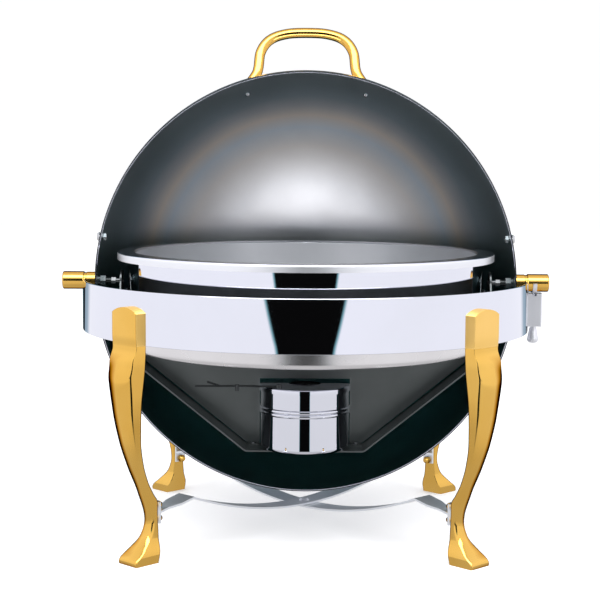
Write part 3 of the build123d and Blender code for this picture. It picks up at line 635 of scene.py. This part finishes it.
def studio_tone():
    """Node group: what polished metal sees of the studio in a direction.

    White sides, a dark gap behind the camera with a wider step below the horizon, dark flags behind
    the object. Azimuths count from the camera's side to either side, lifts from the horizon.
    """
    tree = bpy.data.node_groups.new("studio_tone", "ShaderNodeTree")
    tree.interface.new_socket("Direction", in_out="INPUT", socket_type="NodeSocketVector")
    tree.interface.new_socket("Color", in_out="OUTPUT", socket_type="NodeSocketColor")
    entry = tree.nodes.new("NodeGroupInput")
    leave = tree.nodes.new("NodeGroupOutput")
    unit = add_node(tree, "VectorMath", {0: entry.outputs[0]}, operation="NORMALIZE")
    parts = add_node(tree, "SeparateXYZ", {0: unit.outputs[0]})
    backwards = math_node(tree, "MULTIPLY", parts.outputs["Y"], -1.0)
    azimuth = math_node(tree, "ABSOLUTE", math_node(tree, "ARCTAN2", parts.outputs["X"], backwards))
    azimuth = math_node(tree, "DIVIDE", azimuth, math.pi)
    lift = math_node(tree, "ARCSINE", parts.outputs["Z"])
    lift = math_node(tree, "MULTIPLY_ADD", lift, 1 / math.pi, 0.5)

    def at_azimuth(degrees):
        return degrees / 180

    def at_lift(degrees):
        return 0.5 + degrees / 180

    light = (1.03, 1.03, 1.08)
    sides = ramp_node(tree, lift, [
        (0.0, (0.80, 0.80, 0.82)), (at_lift(-14), (0.84, 0.84, 0.87)), (at_lift(-8), light),
        (at_lift(8), light), (at_lift(30), (1.15, 1.15, 1.2)), (at_lift(70), (0.9, 0.9, 0.95)),
    ])
    black = (0.008, 0.012, 0.015)
    flags = ramp_node(tree, azimuth, [
        (at_azimuth(137), WHITE), (at_azimuth(143), (0.36, 0.46, 0.52)),
        (at_azimuth(149), (0.30, 0.40, 0.46)), (at_azimuth(151), black), (at_azimuth(157), black),
        (at_azimuth(160), (0.06, 0.16, 0.19)), (at_azimuth(172), (0.04, 0.10, 0.12)),
        (1.0, (0.003, 0.006, 0.008)),
    ])
    flag_height = ramp_node(tree, lift, [(at_lift(28), 1.0), (at_lift(45), 0.0)])
    tone = blended(tree, "MULTIPLY", flag_height, sides, flags)
    half_widths = [
        (-7.5, 12.4), (-4.2, 19.6), (-4.1, 16), (-3.75, 15), (-3.55, 33), (-2.8, 33), (-2.2, 15), (6, 12),
    ]
    gap_half = ramp_node(tree, lift, [(at_lift(up), at_azimuth(half)) for up, half in half_widths])
    inside = math_node(tree, "SUBTRACT", gap_half, azimuth)
    inside = math_node(tree, "MULTIPLY_ADD", inside, 180 / GAP_EDGE, 0.5)
    inside = math_node(tree, "MINIMUM", math_node(tree, "MAXIMUM", inside, 0.0), 1.0)
    ends = [(at_lift(-38), 0.0), (at_lift(-33), 1.0), (at_lift(17), 1.0), (at_lift(24), 0.0)]
    inside = math_node(tree, "MULTIPLY", inside, ramp_node(tree, lift, ends))
    gap = ramp_node(tree, inside, [(0.0, WHITE), (0.45, (0.20, 0.42, 0.45)), (0.8, (0.003, 0.003, 0.003))])
    tree.links.new(blended(tree, "MULTIPLY", 1.0, tone, gap), leave.inputs[0])
    return tree


tone_group = studio_tone()


def tone_towards(tree, direction):
    node = tree.nodes.new("ShaderNodeGroup")
    node.node_tree = tone_group
    tree.links.new(direction, node.inputs[0])
    return node.outputs[0]


def show_to_glossy_rays(tree, plain, reflected, output):
    """Shows the shader reflected to glossy rays and the shader plain to all others."""
    rays = add_node(tree, "LightPath").outputs["Is Glossy Ray"]
    mix = add_node(tree, "MixShader", {0: rays, 1: plain, 2: reflected})
    tree.links.new(mix.outputs[0], tree.nodes[output].inputs["Surface"])


FLOOR = 6.0  # half of the floor's side; all lengths here are in metres
TONE_HEIGHT = 0.23  # the floor's mirrored tone is that of the direction from this height
# grey that glossy rays see of the floor near the dish: painted shade in the reflections of the legs' lower
# parts
NEAR_FLOOR_SHADE = (0.62, 0.62, 0.64)
NEAR, FAR = 0.31, 0.42
floor_mesh = bpy.data.meshes.new("floor")
floor_corners = [(-FLOOR, -FLOOR, 0), (FLOOR, -FLOOR, 0), (FLOOR, FLOOR, 0), (-FLOOR, FLOOR, 0)]
floor_mesh.from_pydata(floor_corners, [], [(0, 1, 2, 3)])
floor = bpy.data.objects.new("floor", floor_mesh)
scene.collection.objects.link(floor)
floor_material, floor_tree, floor_shader = node_tree("floor_paper")
floor_shader.inputs["Base Color"].default_value = (0.86, 0.86, 0.87, 1)
floor_shader.inputs["Roughness"].default_value = 0.9
floor_shader.inputs["Specular IOR Level"].default_value = 0.1
floor_shader.inputs["Emission Color"].default_value = (1, 1, 1, 1)
floor_shader.inputs["Emission Strength"].default_value = 0.32
position = add_node(floor_tree, "NewGeometry").outputs["Position"]
below = add_node(floor_tree, "VectorMath", {0: position, 1: (0, 0, TONE_HEIGHT)}, operation="SUBTRACT")
distance = add_node(floor_tree, "VectorMath", {0: position}, operation="LENGTH").outputs["Value"]
far = add_node(floor_tree, "MapRange", {"Value": distance, "From Min": NEAR, "From Max": FAR}).outputs[0]
floor_tone = blended(floor_tree, "MIX", far, NEAR_FLOOR_SHADE, tone_towards(floor_tree, below.outputs[0]))
floor_seen = add_node(floor_tree, "Emission", {"Color": floor_tone})
show_to_glossy_rays(floor_tree, floor_shader.outputs[0], floor_seen.outputs[0], "Material Output")
floor_mesh.materials.append(floor_material)

world = bpy.data.worlds.new("studio")
scene.world = world
world.use_nodes = True
world_tree = world.node_tree
plain = world_tree.nodes["Background"]
plain.inputs["Color"].default_value = (0.985, 0.99, 1.0, 1)
plain.inputs["Strength"].default_value = 1.02
ray_direction = add_node(world_tree, "TexCoord").outputs["Generated"]
world_seen = add_node(world_tree, "Background", {"Color": tone_towards(world_tree, ray_direction)})
show_to_glossy_rays(world_tree, plain.outputs[0], world_seen.outputs[0], "World Output")


def softbox(name, location, target, width, height, radiance):
    """A rectangular studio light aimed at a point, as bright as radiance all over."""
    data = bpy.data.lights.new(name, "AREA")
    data.shape = "RECTANGLE"
    data.size, data.size_y = width, height
    data.energy = radiance * math.pi * width * height
    light = bpy.data.objects.new(name, data)
    scene.collection.objects.link(light)
    light.location = location
    light.rotation_euler = (Vector(target) - Vector(location)).to_track_quat("-Z", "Y").to_euler()


softbox(
    "top_softbox", location=(0, -0.94, 1.56), target=(0, 0.09, 0.22), width=2.8, height=0.9, radiance=4.9
)

# ---------------------------------------------------------------- camera
# Solved from the outlines in the photo; angles in degrees
CAMERA_PLACE = (-0.0021, -1.5528, 0.3826)
CAMERA_PAN, CAMERA_DIP, CAMERA_ROLL = 0.127, 5.575, 0.366
SENSOR_WIDTH = 36
LENS_PER_WIDTH = 2.5597
camera_data = bpy.data.cameras.new("camera")
camera_data.sensor_width = SENSOR_WIDTH
camera_data.lens = SENSOR_WIDTH * LENS_PER_WIDTH
camera = bpy.data.objects.new("camera", camera_data)
scene.collection.objects.link(camera)
camera.matrix_world = (
    Matrix.Translation(CAMERA_PLACE)
    @ Matrix.Rotation(math.radians(CAMERA_PAN), 4, "Z")
    @ Matrix.Rotation(math.radians(90 - CAMERA_DIP), 4, "X")
    @ Matrix.Rotation(math.radians(CAMERA_ROLL), 4, "Z")
)
scene.camera = camera
scene.view_settings.view_transform = "Standard"
